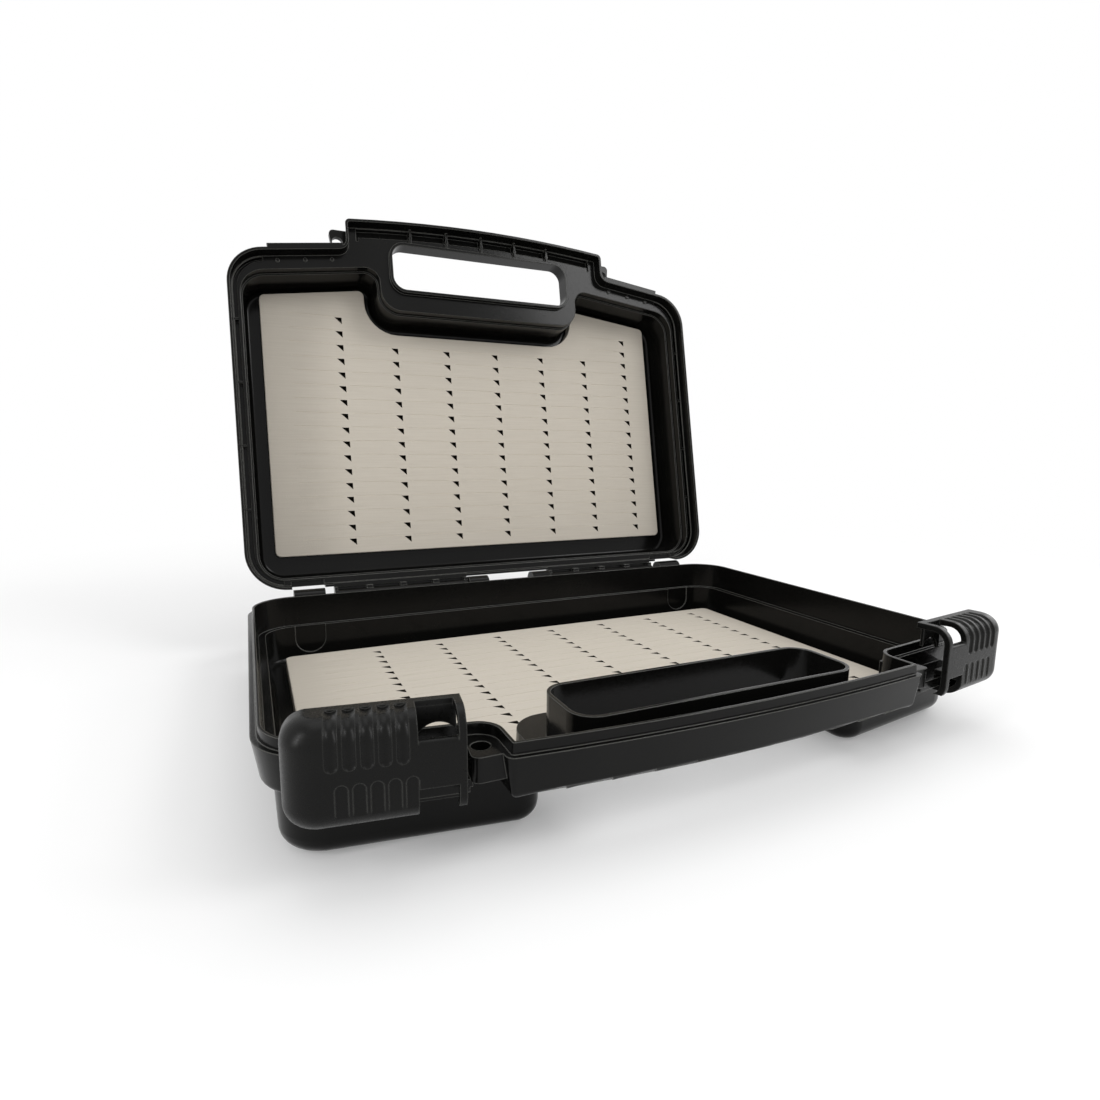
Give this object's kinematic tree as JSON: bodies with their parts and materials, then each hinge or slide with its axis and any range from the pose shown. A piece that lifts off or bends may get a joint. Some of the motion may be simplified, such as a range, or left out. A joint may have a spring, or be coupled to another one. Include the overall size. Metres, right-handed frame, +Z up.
{
  "type": "fly fishing boat box",
  "caption": "Hinged moulded case with a carry handle, padlock ears, two sliding latches and slit foam liners that hold fishing flies",
  "frame": {"origin": "middle of the flat underside of the base shell", "axes": "+X along the hinge, to the right as the open case is used; -Y towards the handle; +Z up"},
  "size_m": [0.348, 0.3474, 0.2933],
  "materials": {
    "shell_plastic": "satin black moulded plastic",
    "latch_plastic": "satin black moulded plastic, a little greyer than the shells",
    "pin_steel": "plain steel wire",
    "foam": "soft matt closed-cell foam in a light warm grey",
    "adhesive": "thin adhesive film"
  },
  "bodies": {
    "base": {"base_shell": "shell_plastic", "base_foam": "foam", "base_foam_adhesive": "adhesive", "left_hinge_pin": "pin_steel", "right_hinge_pin": "pin_steel"},
    "lid": {"lid_shell": "shell_plastic", "lid_foam": "foam", "lid_foam_adhesive": "adhesive"},
    "latch_left": {"left_latch": "latch_plastic"},
    "latch_right": {"right_latch": "latch_plastic"}
  },
  "joints": [
    {"name": "lid_hinge", "type": "hinge", "parent": "base", "child": "lid", "pos_m": [0, 0.1185, 0.0385], "axis": [1, 0, 0], "range_deg": [0, 101.7]},
    {"name": "left_latch_slide", "type": "slide", "parent": "base", "child": "latch_left", "axis": [0.9903, -0.1392, 0], "range_m": [0, 0.0035]},
    {"name": "right_latch_slide", "type": "slide", "parent": "base", "child": "latch_right", "axis": [-0.9903, -0.1392, 0], "range_m": [0, 0.0035]}
  ]
}
